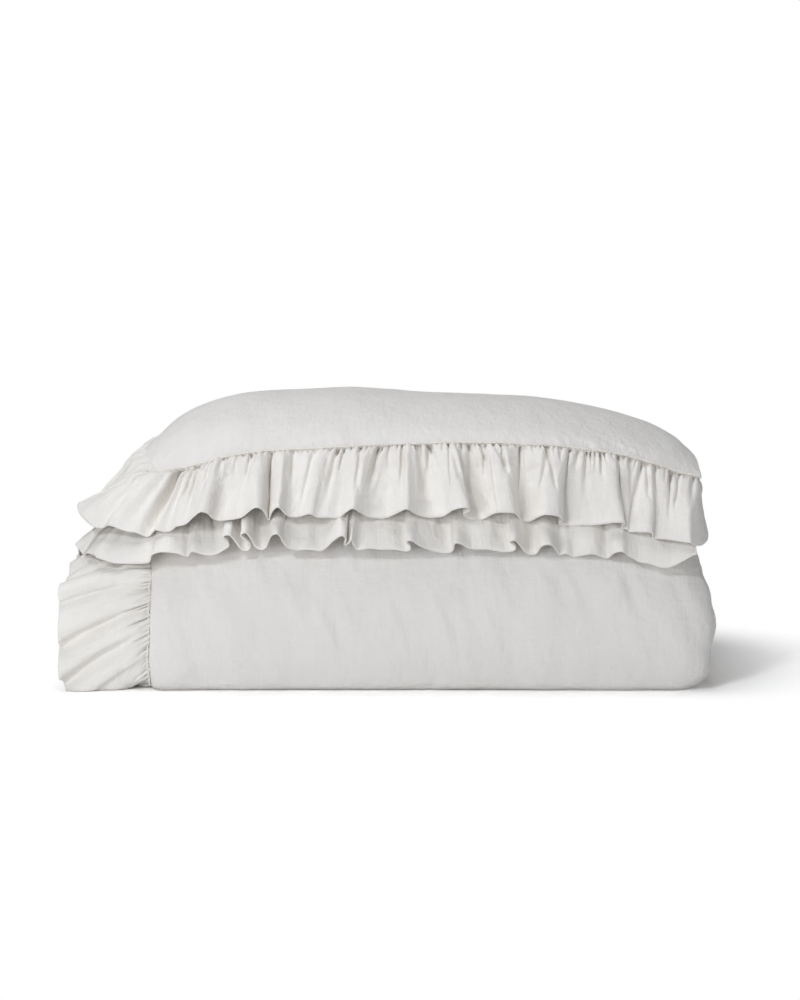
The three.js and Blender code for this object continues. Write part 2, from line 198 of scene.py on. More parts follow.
def lookUp(rows, column, at):  # a smooth curve through one column of a table
    keys, values = rows[:, 0], rows[:, column]
    slopes = np.empty(len(keys))
    slopes[1:-1] = (values[2:] - values[:-2]) / (keys[2:] - keys[:-2])
    slopes[0] = (values[1] - values[0]) / (keys[1] - keys[0])
    slopes[-1] = (values[-1] - values[-2]) / (keys[-1] - keys[-2])
    at = np.clip(at, keys[0], keys[-1])
    i = np.clip(np.searchsorted(keys, at) - 1, 0, len(keys) - 2)
    span = keys[i + 1] - keys[i]
    t = (at - keys[i]) / span
    return hermite(values[i], values[i + 1] - values[i], slopes[i] * span, slopes[i + 1] * span, t)


def section(x, closing, shape):  # one closed back-and-forth section, as points in Y and Z
    make = duvetMake
    crown, seam, seamY = (float(lookUp(crownRows, column, x)) for column in (1, 2, 3))
    left, right, fade = make["left"], make["right"], make["endFade"]
    ends = 1 - ease(left, left + fade, x) + ease(right - fade, right, x)
    layer = make["layer"] * (1 - make["endSink"] * ends)
    floor = shape["floor"] * closing
    lowerTop = layer - shape["layer"] * closing
    middleFoot = layer + make["layerGap"] + shape["foot"] * closing
    middleTop = 2 * layer - 0.6 * shape["layer"] * closing
    topFoot = 2 * layer + make["layerGap"] + shape["foot"] * closing
    lowerSeam = seam - make["plyDrop"]
    run = make["run"]
    turnReach = make["turnReach"] * (1 - shape["front"] * closing)
    backReach = make["backReach"] * (1 - shape["back"] * closing)
    backTop = seam + (crown - seam) * topRows[-1, 1]
    points = [(y, floor) for y in make["underside"]]
    points += [
        (make["turnStart"] - turnReach * out, floor + (middleTop - floor) * rise)
        for rise, out in frontTurnRows
    ]
    points += [(y, middleTop) for y in run]
    points += [(make["creaseBack"], (middleTop + topFoot) / 2)]
    points += [(y, topFoot) for y in run[::-1]]
    # the top layer's front edge: the lower ply and its seam, the groove, the upper ply and its seam
    points += [(-125, topFoot + 1), (seamY + 18, lowerSeam - make["plySag"] * (1 - closing))]
    points += [(seamY + behind, lowerSeam + rise) for behind, rise in make["groove"]]
    points += [(seamY + 14, seam - 7), (seamY, seam)]
    for y, share in topRows:
        points.append((max(y, seamY + 6 + (y - topRows[0, 0]) * 0.8), seam + (crown - seam) * share))
    points += [
        (make["backStart"] + backReach * out, middleFoot + (backTop - middleFoot) * rise)
        for rise, out in backTurnRows[::-1]
    ]
    points += [(y, middleFoot) for y in run[::-1]]
    points += [(make["creaseFront"], (lowerTop + middleFoot) / 2)]
    points += [(y, lowerTop) for y in run]
    points += [(y, floor + (lowerTop - floor) * rise) for y, rise in bottomEndRows]
    return np.array(points, float)


# Where in a section's points each of its stretches starts.
turnFoot = 2
turnTop = turnFoot + len(frontTurnRows) - 1
topFootAt = turnTop + 5
lowerSeamAt = topFootAt + 5
upperSeamAt = lowerSeamAt + 4
topEndAt = upperSeamAt + len(topRows)
heelAt = topEndAt + len(backTurnRows) - 1
bottomEndAt = heelAt + 8


def placeInX(x, y, z):  # the ends bulge and draw in with height
    make = duvetMake
    nearRight = ease(make["right"] - make["rightRun"], make["right"], x)
    nearLeft = 1 - ease(make["left"], make["left"] + make["leftRun"], x)
    height, ahead, behind = make["over"]
    over = ease(*height, z) * ease(*ahead, y) * (1 - ease(*behind, y))
    turnIn = make["turnIn"] * ease(*make["turnInRun"], y)
    bulge = lookUp(rightEndRows, 1, z) - turnIn
    return x + nearRight * bulge - nearLeft * (make["overhang"] * over - turnIn)


def ringThrough(points, counts):  # a smooth closed line, divided in set steps
    gaps = norm(np.roll(points, -1, 0) - points, axis=1)
    t = np.maximum(gaps, 1e-6) ** 0.5
    before = np.roll(t, 1)
    chord = (np.roll(points, -1, 0) - points) / t[:, None]
    chordBefore = np.roll(chord, 1, 0)
    slope = (chordBefore * t[:, None] + chord * before[:, None]) / (t + before)[:, None]
    found = []
    for i, count in enumerate(counts):
        j = (i + 1) % len(points)
        s = (np.arange(count) / count)[:, None]
        found.append(hermite(points[i], points[j] - points[i], slope[i] * t[i], slope[j] * t[i], s))
    return np.concatenate(found)


def stepsRound():  # how finely each stretch of a section is divided
    points = section(50.0, 0.0, leftShape)  # one near the middle
    gaps = norm(np.roll(points, -1, 0) - points, axis=1)
    fine = duvetFine
    spacing = np.full(len(points), float(fine["hidden"]))
    spacing[turnFoot - 1:turnTop] = fine["seen"]
    spacing[topFootAt + 2:topFootAt + 4] = fine["seen"]
    spacing[lowerSeamAt - 1:upperSeamAt + 2] = fine["nearSeam"]
    spacing[upperSeamAt + 2:heelAt] = fine["seen"]
    spacing[bottomEndAt - 1:bottomEndAt + len(bottomEndRows)] = fine["lower"]
    return np.maximum(1, np.round(gaps / spacing)).astype(int)


def endStations(shape, side, edge):  # the sections that round off an end
    count = shape["stations"]
    angles = np.radians(np.linspace(90, 90 / count, count))
    return [(edge - side * shape["round"] * (1 - math.sin(a)), 1 - math.cos(a), shape) for a in angles]


def inwardTargets(ring, inset):  # each point of a ring moved into the cloth behind it
    edge = np.roll(ring, -1, 0) - ring
    along = np.roll(ring, -1, 0) - np.roll(ring, 1, 0)
    inward = unit(np.stack([along[:, 1], -along[:, 0]], axis=1))
    depth = np.empty(len(ring))
    for i, point in enumerate(ring):
        start = ring - point
        cross = inward[i, 0] * edge[:, 1] - inward[i, 1] * edge[:, 0]
        cross = np.where(np.abs(cross) < 1e-9, 1e-9, cross)
        far = (start[:, 0] * edge[:, 1] - start[:, 1] * edge[:, 0]) / cross
        part = (start[:, 0] * inward[i, 1] - start[:, 1] * inward[i, 0]) / cross
        hits = far[(part >= -1e-6) & (part <= 1 + 1e-6) & (far > 0.5)]
        depth[i] = hits.min() if len(hits) else 2 * inset
    reach = np.minimum(0.4 * depth, inset)
    for _ in range(6):
        reach = np.minimum(reach, (np.roll(reach, 1) + reach + np.roll(reach, -1)) / 3)
    target = ring + inward * reach[:, None]
    for _ in range(4):
        target = (np.roll(target, 1, 0) + 2 * target + np.roll(target, -1, 0)) / 4
    return target


def duvetGrid():  # the surface's rings from left to right, and where their stretches start
    left, right = duvetMake["left"], duvetMake["right"]
    first, final = left + leftShape["round"], right - rightShape["round"]
    count = round((final - first) / duvetFine["step"])
    places = endStations(leftShape, -1, left)
    places += [(x, 0.0, leftShape) for x in np.linspace(first, final, count + 1)]
    places += endStations(rightShape, 1, right)[::-1]
    steps = stepsRound()
    rings = []
    for x, closing, shape in places:
        points = ringThrough(section(x, closing, shape), steps)
        points[:, 1] = np.maximum(points[:, 1], 0)
        along = placeInX(x, points[:, 0], points[:, 1])
        rings.append(np.column_stack([along, points]))
    return np.array(rings), summed(steps)


def domed(grid, shape, side):  # rings that close one end of the duvet softly
    rim = grid[0] if side < 0 else grid[-1]
    target = inwardTargets(rim[:, 1:], shape["inset"])
    edge = duvetMake["left" if side < 0 else "right"]
    found = []
    for degrees in domeTurns:
        turn = math.radians(degrees)
        ring = rim.copy()
        ring[:, 1:] = target + (rim[:, 1:] - target) * math.cos(turn)
        ring[:, 0] += placeInX(edge, ring[:, 1], ring[:, 2]) - placeInX(edge, rim[:, 1], rim[:, 2])
        ring[:, 0] += side * shape["dome"] * math.sin(turn)
        found.append(ring)
    return found


def normalsOf(grid):  # outward
    down = np.roll(grid, -1, 1) - np.roll(grid, 1, 1)
    side = np.gradient(grid, axis=0)
    return unit(np.cross(side, down))


def duvetObject(name, grid):  # a closed mesh from the rings, with a cap at both ends
    leftCap, rightCap = domed(grid, leftShape, -1)[::-1], domed(grid, rightShape, 1)
    rings = np.concatenate([leftCap, grid, rightCap])
    rings[..., 2] = np.maximum(rings[..., 2], 0)
    count, around = rings.shape[:2]
    index = np.arange(count * around).reshape(count, around)
    faces = ringFaces(index[1:], index[:-1])
    for ring, toRight in ((index[0].tolist(), False), (index[-1].tolist(), True)):
        outline = [Vector((0, *rings.reshape(-1, 3)[i, 1:])) for i in ring]
        for triangle in tessellate_polygon([outline]):
            corners = [ring[i] for i in triangle]
            p = [outline[i] for i in triangle]
            area = (p[1] - p[0]).cross(p[2] - p[0]).x
            faces.append(corners[::1 if (area > 0) == toRight else -1])
    steps = norm(np.diff(rings, axis=1), axis=2).mean(0)
    uvs = uvsOf(rings[..., 0] * mm, summed(steps) * mm)
    return newObject(name, rings.reshape(-1, 3) * mm, faces, uvs)


def shownShare(starts, around):  # 1 where the cover shows, 0 deep in the creases and underneath
    share = np.zeros(around)
    stretches = [(turnFoot, turnTop + 1), (lowerSeamAt - 3, heelAt - 1), (bottomEndAt, bottomEndAt + 4)]
    for first, last in stretches:
        share[starts[first]:starts[last]] = 1
    return blurred(np.tile(share, 3), 5)[around:2 * around]


swellLook = {
    "quality": 4, "mass": 0.3, "tension_stiffness": 12, "compression_stiffness": 12,
    "bending_stiffness": 0.3, "use_pressure": True, "uniform_pressure_force": 2.5,
    "shrink_min": -0.025,  # the cover is a little too large for its filling
}


def inflated(grid, shown):  # the filling's pressure, simulated on some of the rings
    keep = np.unique(np.append(np.arange(0, len(grid), duvetFine["skip"]), len(grid) - 1))
    obj = duvetObject("duvet trial", grid[keep])
    start = positions(obj.data)
    cloth = obj.modifiers.new("cloth", "CLOTH")
    for key, value in swellLook.items():
        setattr(cloth.settings, key, value)
    cloth.settings.effector_weights.gravity = 0
    cloth.point_cache.frame_start = 1
    cloth.point_cache.frame_end = duvetFine["frames"]
    for step in range(1, duvetFine["frames"] + 1):
        bpy.context.scene.frame_set(step)
    graph = bpy.context.evaluated_depsgraph_get()
    moved = positions(obj.evaluated_get(graph).data) - start
    bpy.context.scene.frame_set(1)
    bpy.data.objects.remove(obj)
    first = len(domeTurns)
    moved = moved.reshape(-1, grid.shape[1], 3)[first:first + len(keep)] / mm
    length = norm(moved, axis=2, keepdims=True)
    print("duvet inflated, mean move", round(float(length.mean()), 2), "mm")
    moved = moved * np.minimum(1, duvetFine["cap"] / np.maximum(length, 1e-9))
    moved = moved * shown[None, :, None]
    fine = columnsAt(np.arange(len(grid)), keep, moved.reshape(len(keep), -1))
    return grid + fine.reshape(grid.shape)


reliefLook = {  # in millimetres
    "sway": 2.2,  # broad soft undulation of the cover
    "swaySize": 95,
    "ripple": 0.45, "rippleSize": 26,
    "pucker": 1.5,  # little dimples beside the gathered seams
    "puckerSize": 5.5,
    "puckerReach": 13,
    "seamRidge": 0.9, "ridgeHalf": 2.4,
    "lowerSeam": 0.5,  # share of it at the lower seam, and below a seam
    "below": 0.6,
    "crinkle": 1.7,  # soft upright and slanting crinkles of the front turn
    "crinkleSize": 13,
}
# Creases in the cover, in millimetres: two ends, depth at the first and half width.
coverCreases = [
    ((-262, -150, 232), (-238, -146, 262), 5, 7), ((-266, -152, 234), (-246, -120, 262), 4, 6),
    ((-256, -152, 234), (-226, -150, 254), 2.5, 6), ((-246, -156, 236), (-205, -150, 258), 1.5, 7),
    ((46, -222, 0), (54, -226, 13), 4, 5), ((30, -222, 4), (46, -224, 9), 2, 5),
    ((354, -190, 92), (338, -232, 84), 3.5, 9), ((361, -190, 48), (342, -234, 36), 1.5, 8),
    ((350, -200, 18), (326, -236, 30), 1.2, 8), ((352, -180, 130), (334, -220, 120), 1.2, 8),
]


def nearLine(points, start, end):  # distance to a segment, and how far along it
    line = np.subtract(end, start, dtype=float)
    away = points - start
    share = np.clip(away @ line / (line @ line), 0, 1)
    return norm(away - share[..., None] * line, axis=-1), share


def relieved(grid, starts, shown):  # undulations, puckers beside the seams and single creases
    look = reliefLook
    cloud = Noise3(5)
    height = look["sway"] * cloud(grid, look["swaySize"])
    height = height + look["ripple"] * cloud(grid + 70, look["rippleSize"])
    index = np.arange(grid.shape[1])
    turn = np.zeros(grid.shape[1])
    turn[starts[turnFoot]:starts[turnTop] + 1] = 1
    leaning = grid * np.array([1, 0.3, 0.3]) + grid[..., 2:] * np.array([0.35, 0, 0])
    crinkled = cloud(leaning + 200, look["crinkleSize"])
    crinkled = crinkled + 0.6 * cloud(leaning + 400, look["crinkleSize"] * 2.2)
    height += look["crinkle"] * crinkled * blurred(turn, 4)
    for seam, much in ((starts[upperSeamAt], 1), (starts[lowerSeamAt], look["lowerSeam"])):
        away = norm(grid - grid[:, seam:seam + 1], axis=2)
        side = np.where(index >= seam, 1.0, look["below"])
        fade = np.exp(-((away / look["puckerReach"]) ** 1.5)) * side
        slanted = np.stack([grid[..., 0] + away * 0.5, 0 * away, 0 * away], axis=-1)
        dimples = cloud(slanted + 31, look["puckerSize"])
        height += look["pucker"] * fade * much * dimples * ease(1, 5, away)
        height += look["seamRidge"] * much * np.exp(-((away / look["ridgeHalf"]) ** 2))
    for start, end, depth, half in coverCreases:
        far, share = nearLine(grid, start, end)
        height -= depth * np.exp(-((far / half) ** 2)) * (1 - 0.6 * share)
    return grid + normalsOf(grid) * (height * shown[None, :])[..., None]


def makeDuvet():
    grid, starts = duvetGrid()
    shown = shownShare(starts, grid.shape[1])
    grid = inflated(grid, shown)
    grid[..., 2] -= duvetFine["settled"] * ease(*duvetFine["crown"], grid[..., 2])
    grid = relieved(grid, starts, shown)
    obj = duvetObject("filled_duvet", grid)
    print("duvet made:", len(obj.data.polygons), "faces")
    return obj, grid, starts


duvet, duvetRings, ringStarts = makeDuvet()

leftEnd = duvetMake["left"] * mm
rightEnd = duvetMake["right"] * mm


def heading(degrees):
    angle = math.radians(degrees)
    return np.array([-math.cos(angle), -math.sin(angle), 0.0])


up = np.array([0, 0, 1.0])
front = np.array([0, -1.0, 0])
leftward = np.array([-1.0, 0, 0])


# A place on a ruffle's seam: length of seam up to it, where it lies, the way that the cloth leaves it,
# its upper side, dip in degrees, hang, reach and curl.
rowKeys = ("at", "spot", "out", "normal", "dip", "droop", "reach", "curl")


def row(*values):
    return dict(zip(rowKeys, values))


dipRows = np.array([  # place along the front, dip of the upper ruffle, dip of the lower one
    (-0.262, 45, 38), (-0.240, 46, 38), (-0.230, 46, 32), (-0.212, 47, 35), (-0.187, 49, 42),
    (-0.064, 54, 46), (0.0, 58, 50), (0.060, 63, 56), (0.150, 64, 56), (0.235, 62, 54),
    (0.276, 57, 47), (0.310, 55, 41), (0.345, 49, 36),
])


def dipAt(x, ply):
    return np.interp(x, dipRows[:, 0], dipRows[:, 1 if ply == "upper" else 2])


def rimPoints(first, last):  # points of the left end's edge, between two points of the section
    ring = duvetRings[0] * mm
    a, b = ringStarts[first], ringStarts[last]
    return list(ring[a:b + 1]) if b > a else list(ring[b:a + 1][::-1])


cornerLook = {
    "fan": 44 * mm,  # length of seam that is gathered into the front left corner
    "heading": 48,  # degrees that the ruffle turns there, from pointing left
    "turn": 42 * mm,  # along the front, where it turns forward and loses its curl
    "uncurl": 60 * mm,
}
# Curl along the left end and at the corner, reach, its loss at the corner.
cornerDrape = {"upper": (0.0, 0.45, 0.96, 0), "lower": (0.5, 0.5, 1.03, 0.08)}
# Curl and reach along the front, change of the reach at the right and where that is.
frontDrape = {"upper": (0.0, 0.94, 0.06, 0.322, 0.336), "lower": (0.4, 1.07, -0.12, 0.300, 0.345)}


def leftRows(points, ply, describe):
    curl, cornerCurl, reach, loss = cornerDrape[ply]
    rows = []
    at = leftEnd - cornerLook["fan"]
    for i, point in enumerate(points):
        if i:
            at -= norm(point - points[i - 1])
        rows.append(row(at, point, leftward, *describe(point), reach, curl))
    rows.reverse()
    for share in (0.25, 0.5, 0.75, 1.0):
        normal, dip, _ = describe(points[0])
        turned = dip + (dipAt(leftEnd, ply) - dip) * share
        at = leftEnd - cornerLook["fan"] * (1 - share)
        curled = curl + (cornerCurl - curl) * share
        out = heading(cornerLook["heading"] * share)
        rows.append(row(at, points[0], out, normal, turned, 0, reach - loss * share, curled))
    return rows


def frontRows(seam, ply):
    atCorner = cornerLook["heading"]
    rows = []
    for ring in duvetRings[1:-1]:
        spot = ring[ringStarts[seam]] * mm
        if spot[0] < leftEnd or rows and spot[0] < rows[-1]["at"] + 1 * mm:
            continue
        angle = atCorner + (90 - atCorner) * ease(leftEnd, leftEnd + cornerLook["turn"], spot[0])
        angle -= 6 * ease(rightEnd - 24 * mm, rightEnd, spot[0])
        curl, reach, change, start, end = frontDrape[ply]
        reach += change * ease(start, end, spot[0])
        fromCorner = ease(leftEnd, leftEnd + cornerLook["uncurl"], spot[0])
        curl += (cornerDrape[ply][1] - curl) * (1 - fromCorner)
        rows.append(row(spot[0], spot, heading(angle), up, dipAt(spot[0], ply), 0, reach, curl))
    return rows


def upperRoute():
    def describe(point):  # dipping more where it is high and far back, upright behind
        behind = ease(0.150, 0.205, point[1]) * (1 - 0.6 * ease(0.2, 0.24, point[2]))
        dip = 26 + 27 * ease(0.234, 0.262, point[2]) + 8 * ease(-0.06, 0.03, point[1])
        return unit(up * (1 - behind) - front * behind), dip * (1 - behind), 0.9 * behind

    rows = leftRows(rimPoints(upperSeamAt, heelAt - 1), "upper", describe)
    rows += frontRows(upperSeamAt, "upper")
    end = rows[-1]
    for share in (0.15, 0.4, 0.6, 0.8, 1.0):  # round the right end
        spot = end["spot"] - front * 40 * mm * share - leftward * 1 * mm
        dip, reach = 64 + 24 * share, 0.64 + 0.3 * (1 - min(1.0, 3 * share))
        at = end["at"] + 36 * mm * share
        rows.append(row(at, spot, heading(90 + 90 * share), up, dip, 0, reach, 0.25 * share))
    return rows


def lowerRoute():
    def describe(point):
        return up, 36 + 10 * ease(-0.1, 0.05, point[1]), 0

    rows = leftRows(rimPoints(lowerSeamAt, topFootAt), "lower", describe)
    return rows + frontRows(lowerSeamAt, "lower")


# Height, hang of the side ruffle there.
droopRows = np.array([(0, 0), (0.010, 0.25), (0.028, 0.5), (0.080, 0.38), (0.130, 0.32), (0.170, 0.32)])


def sideRoute():
    over = rimPoints(turnTop + 3, turnTop)
    down = rimPoints(turnTop, turnFoot)[1:]
    ring = duvetRings[0] * mm
    under = list(ring[ringStarts[0]:ringStarts[turnFoot]][::-1])
    last = ring[ringStarts[bottomEndAt + 4]]
    under += [under[-1] + (last - under[-1]) * share for share in (0.33, 0.66, 1.0)]
    rows = []
    turned = len(over) + len(down)
    for i, point in enumerate(over + down + under):
        at = rows[-1]["at"] + norm(point - rows[-1]["spot"]) if rows else 0.0
        upward = ease(0.105, 0.168, point[2]) * ease(-0.226, -0.195, point[1])
        downward = 1 - ease(0.002, 0.030, point[2])
        normal = unit(front * (1 - max(upward, downward)) + up * (upward - downward))
        droop = np.interp(point[2], droopRows[:, 0], droopRows[:, 1]) * (1 - upward)
        reach = 1.06 - 0.34 * (1 - ease(0.01, 0.085, point[2]))
        if i >= turned:  # drawn in at the floor, and wider again farther under
            reach = max(0.45, 0.71 - 0.2 * (i - turned + 1))
            reach += (0.92 - reach) * ease(-0.215, -0.150, point[1])
        rows.append(row(at, point, leftward, normal, 23 * upward, droop, reach, 0.5 * upward))
    top = rows[len(over) - 1]["at"]
    for entry in rows:
        entry["at"] -= top
    return rows


ruffleMake = {
    "width": 100 * mm,
    "rows": 34,  # steps from its seam to its hem
    "step": 1.3,  # along the hem where it shows, and elsewhere, in millimetres
    "backStep": 2.3,
    "shownFrom": -335,
    "sunk": 2 * mm,  # how deep its edge sits in the seam
    "cloth": 1.0 * mm,
    "hem": 5 * mm,
    "hemCloth": 1.5 * mm,
    "clear": 0.3 * mm,  # over the floor
    "rootDip": 0.5,  # share of the dip that it has at the seam, up to all of it for these dips
    "fullDip": (62, 80),
    "curling": 2.3,  # growth of a curled sheet's dip towards the hem
    "atSeam": 0.04,  # share of a fold's height that it has at the seam
    "puff": 3 * mm,  # how far the gathers swell out, and down to which share
    "puffTo": 0.35,
    "hemRound": 4,  # how far the hem's turns are rounded, in steps
    "evenness": 9,  # length of hem over which the gathering changes its pace
    "calm": (-275, -240),  # left of here they are shallower
    "calmed": 0.7,
}

# The gathers below a seam, in millimetres: pitch and half width of the short ones, pitch and size of
# the long ones. With rise below 1 the hem's folds start sooner.
gatherLook = {
    "upper": {"pitch": 6.5, "half": (1.2, 3.2), "creases": 21, "long": 1.0, "rise": 0.6},
    "lower": {"pitch": 8, "half": (1.5, 3), "creases": 26, "long": 1.0, "rise": 2.0},
    "side": {"pitch": 4.6, "half": (1.2, 2.2), "creases": 24, "long": 0.6, "rise": 0.6},
}
# What short and long gathers are drawn from: depth, reach, half width, how far they lean.
gatherRange = {
    "slitDeep": (3, 6), "slitReach": (0.06, 0.14), "farSlit": (0.15, 0.3), "near": 0.65,
    "deep": (4, 8), "reach": (0.3, 0.8), "half": (2.4, 5), "drift": (-7, 5), "more": 1.6,
}

# Each hem in millimetres: place along the seam, how far the cloth stands off its base, and the place
# on the seam where that is pinned. A place that steps back is an overlap.
upperHem = [
    (-470, 0), (-430, 2), (-385, 3), (-360, 4), (-336, 5, -320), (-314, 6), (-296, 5, -284), (-285, 6),
    (-277, 8, -252), (-271, 9, -247), (-267, 6, -244), (-262, 2, -241), (-253, 6, -237),
    (-248, 8, -234), (-241, 1, -229), (-236, -1, -225), (-234, 5, -219), (-224, 4), (-214, 14),
    (-205, 22, -186), (-197, 17), (-191, 4, -176), (-184, 0), (-172, 1), (-161, 4), (-155, 11),
    (-149, 19), (-143, 24, -146), (-137, 19), (-132, 3, -134), (-130, -6, -132), (-128, 6), (-124, 17),
    (-119, 23, -116), (-115, 16), (-111, 7, -110), (-104, 2), (-92, 7), (-84, 9, -70), (-78, 1, -64),
    (-66, 2), (-55, 0), (-47, 12), (-39, 22, -24), (-32, 14, -16), (-20, 2), (-2, 0), (9, 11),
    (20, 23, 20), (27, 14, 25), (37, 3), (50, 0), (61, 6), (69, 22), (78, 31), (86, 34, 70),
    (89, 26, 73), (82, 14), (86, 5, 80), (96, 0), (105, 1), (112, 12), (119, 21), (137, 24, 124),
    (143, 13, 131), (147, 1), (155, 0), (162, 12), (169, 24), (178, 24), (189, 16, 194), (191, 8, 200),
    (186, 0), (196, -2, 210), (209, 0), (226, 2), (242, 7), (254, 12), (260, 12, 249), (259, 5, 253),
    (256, 0, 258), (262, 1, 266), (266, 3, 273), (264, 0, 278), (278, 3), (289, 6, 294), (293, 3, 298),
    (291, -2), (301, 0), (314, 2), (326, 6), (333, 8, 337), (338, 2, 345), (346, 1), (360, 3),
]
lowerHem = [
    (-450, 0), (-410, 2), (-370, 3), (-352, 4), (-334, 5), (-318, 9), (-309, 12, -300), (-304, 5),
    (-306, -1), (-296, -2, -290), (-284, 3), (-268, 4, -264), (-254, 2), (-241, 1), (-236, 0, -239),
    (-240, 3), (-243, 8, -234), (-236, 8), (-230, 4), (-225, 1), (-220, -3, -217), (-216, 7, -208),
    (-202, 2), (-191, 2), (-181, 9), (-175, 15), (-177, 24), (-182, 29, -178), (-175, 32), (-168, 20),
    (-161, 5), (-154, 4), (-151, 12), (-156, 20), (-162, 28, -158), (-156, 32), (-150, 20), (-146, 8),
    (-140, 3), (-134, 6), (-131, 15), (-126, 26), (-121, 28, -121), (-117, 22), (-113, 8), (-108, 2),
    (-100, 1), (-90, 4), (-73, 2), (-60, 18), (-50, 27, -48), (-45, 19), (-48, 8), (-43, 12), (-40, 22),
    (-37, 10), (-33, 2), (-22, 6), (-8, 3), (6, 3), (22, 1), (25, 10), (20, 23, 19), (25, 27), (35, 17),
    (47, 8), (62, 1), (70, 3), (73, 24), (79, 21, 77), (89, 9), (107, 6), (126, 0), (137, 4), (139, 14),
    (132, 27, 132), (137, 32), (144, 20), (151, 5), (161, 0), (168, 20), (177, 22, 174), (183, 10),
    (188, 0), (194, 7), (203, 0), (223, 8), (241, 0), (247, 14), (256, 17, 252), (262, 8), (274, 1),
    (288, 2), (305, 0), (320, 5), (336, 12),
]
sideHem = [
    (-12, 2), (8, 3), (26, 3), (38, 2), (50, 1, 50), (60, 4), (72, 11), (80, 14), (86, 9), (88, 0, 80),
    (98, 4), (112, 10), (122, 14), (127, 13), (131, 5), (133, -1, 106), (143, 5), (156, 13), (164, 14),
    (168, 6), (170, -1, 134), (182, 7), (194, 11), (202, 8), (206, 0, 160),
]

# Single creases below the upper seam: place, lean over the whole width, half width, reach as a share
# of the width, depth. One of negative depth is a ridge.
upperCreases = [
    (-312, 0, 2.6, 0.85, 9), (-296, 6, 3.2, 0.6, 9), (-282, 3, 3, 0.3, 9), (-264, -4, 2.8, 0.35, 8),
    (-252, -2, 2.4, 0.2, 7), (-243, -8, 7, 1.2, -7), (-231, -5, 4.5, 1.2, 19), (-214, -8, 3, 0.6, 8),
    (-152, 2, 2.5, 0.3, 5), (-48, -4, 3, 0.35, 5), (-6, -8, 2.5, 0.2, 6), (46, 6, 3, 0.35, 6),
    (66, -8, 3, 0.9, 4), (101, 12, 3, 0.3, 5), (116, 22, 4, 0.5, 6), (110, 3, 2.5, 1.0, 3),
    (148, 8, 3, 0.3, 5), (174, 22, 3.5, 0.6, 7), (190, 6, 3, 0.25, 5), (226, 0, 2.5, 0.25, 6),
    (240, 4, 2.5, 0.2, 5), (288, 8, 3.5, 0.5, 6), (318, -6, 3, 0.2, 6), (327, -10, 3, 0.55, 5),
]


def evenHem(start, end, height, pitch=44):  # the flutes of a hidden stretch
    count = round(abs(end - start) / pitch)
    rows = []
    for i in range(count):
        size = (end - start) / count
        at = start + size * (i + 0.5) + 5 * math.sin(2.4 * i)
        grown = height * (1 + 0.3 * math.sin(1.7 * i + 1))
        slant = 2.5 * math.sin(1.3 * i)
        rows += [(at - 0.34 * size, 0.2 * height), (at - 0.14 * size, 0.7 * grown), (at + slant, grown)]
        rows += [(at + 0.16 * size + slant, 0.62 * grown), (at + 0.24 * size, 0.1 * grown)]
    return rows


def curveThrough(knots, step):  # a smooth curve through points, in steps that depend on the place
    knots = np.array([k[:2] for k in knots], float)
    gaps = norm(np.diff(knots, axis=0), axis=1) ** 0.5
    t = summed(gaps)
    slope = np.gradient(knots, t, axis=0)
    fine = np.linspace(0, t[-1], len(knots) * 40)
    i = np.clip(np.searchsorted(t, fine) - 1, 0, len(knots) - 2)
    s = ((fine - t[i]) / gaps[i])[:, None]
    start, end = slope[i] * gaps[i][:, None], slope[i + 1] * gaps[i][:, None]
    found = hermite(knots[i], knots[i + 1] - knots[i], start, end, s)
    length = running(found)
    pace = summed(np.diff(length) / step(found[1:, 0]))
    even = np.arange(0, pace[-1], 1.0)
    return columnsAt(even, pace, found), np.interp(even, pace, length), np.interp(t, fine, length)


def routeAt(route, at):  # the route's own frame at places along the seam
    known = np.array([entry["at"] for entry in route])
    dense = np.linspace(known[0], known[-1], int((known[-1] - known[0]) / (1 * mm)) + 1)
    found = {}
    for key in rowKeys[1:]:
        values = np.array([np.atleast_1d(entry[key]) for entry in route], float)
        soft = blurred(columnsAt(dense, known, values), 3 if key == "spot" else 12)
        found[key] = columnsAt(at, dense, soft)
    found["out"] = unit(found["out"])
    inward = (found["normal"] * found["out"]).sum(1, keepdims=True) * found["out"]
    found["normal"] = unit(found["normal"] - inward)
    found["along"] = np.cross(found["normal"], found["out"])
    return found


def crest(across):  # a smooth bump from -1 to 1
    return np.where(np.abs(across) < 1, np.cos(across * np.pi / 2) ** 2, 0)


def hemStep(place):
    return np.where(place > ruffleMake["shownFrom"], ruffleMake["step"], ruffleMake["backStep"])


def gathers(at, share, gather, chance):  # depth of the slits below the seam, and of the long creases
    look = gatherRange
    for pitch, slit in ((gather["pitch"] * mm, True), (gather["creases"] * mm, False)):
        spot = at[0, 0] + 4 * mm
        while spot < at[-1, 0] - 3 * mm:
            if slit:
                half, deep = chance.uniform(*gather["half"]), chance.uniform(*look["slitDeep"])
                near = chance.random() < look["near"]
                reach = chance.uniform(*look["slitReach" if near else "farSlit"])
            else:
                half, deep = chance.uniform(*look["half"]), chance.uniform(*look["deep"]) * gather["long"]
                reach = chance.uniform(*look["reach"]) * gather["long"]
            drift = chance.uniform(*look["drift"]) * mm * (1 if slit else look["more"])
            across = (at - spot - drift * share) / (half * mm * (1 + 0.6 * share / reach))
            fade = 1 - ease(0.4 * reach, 1.5 * reach, share)
            yield deep * mm * crest(across) * (fade * (0.4 + 0.6 * ease(0, 0.04, share)))
            spot += pitch * chance.uniform(0.5, 1.5)


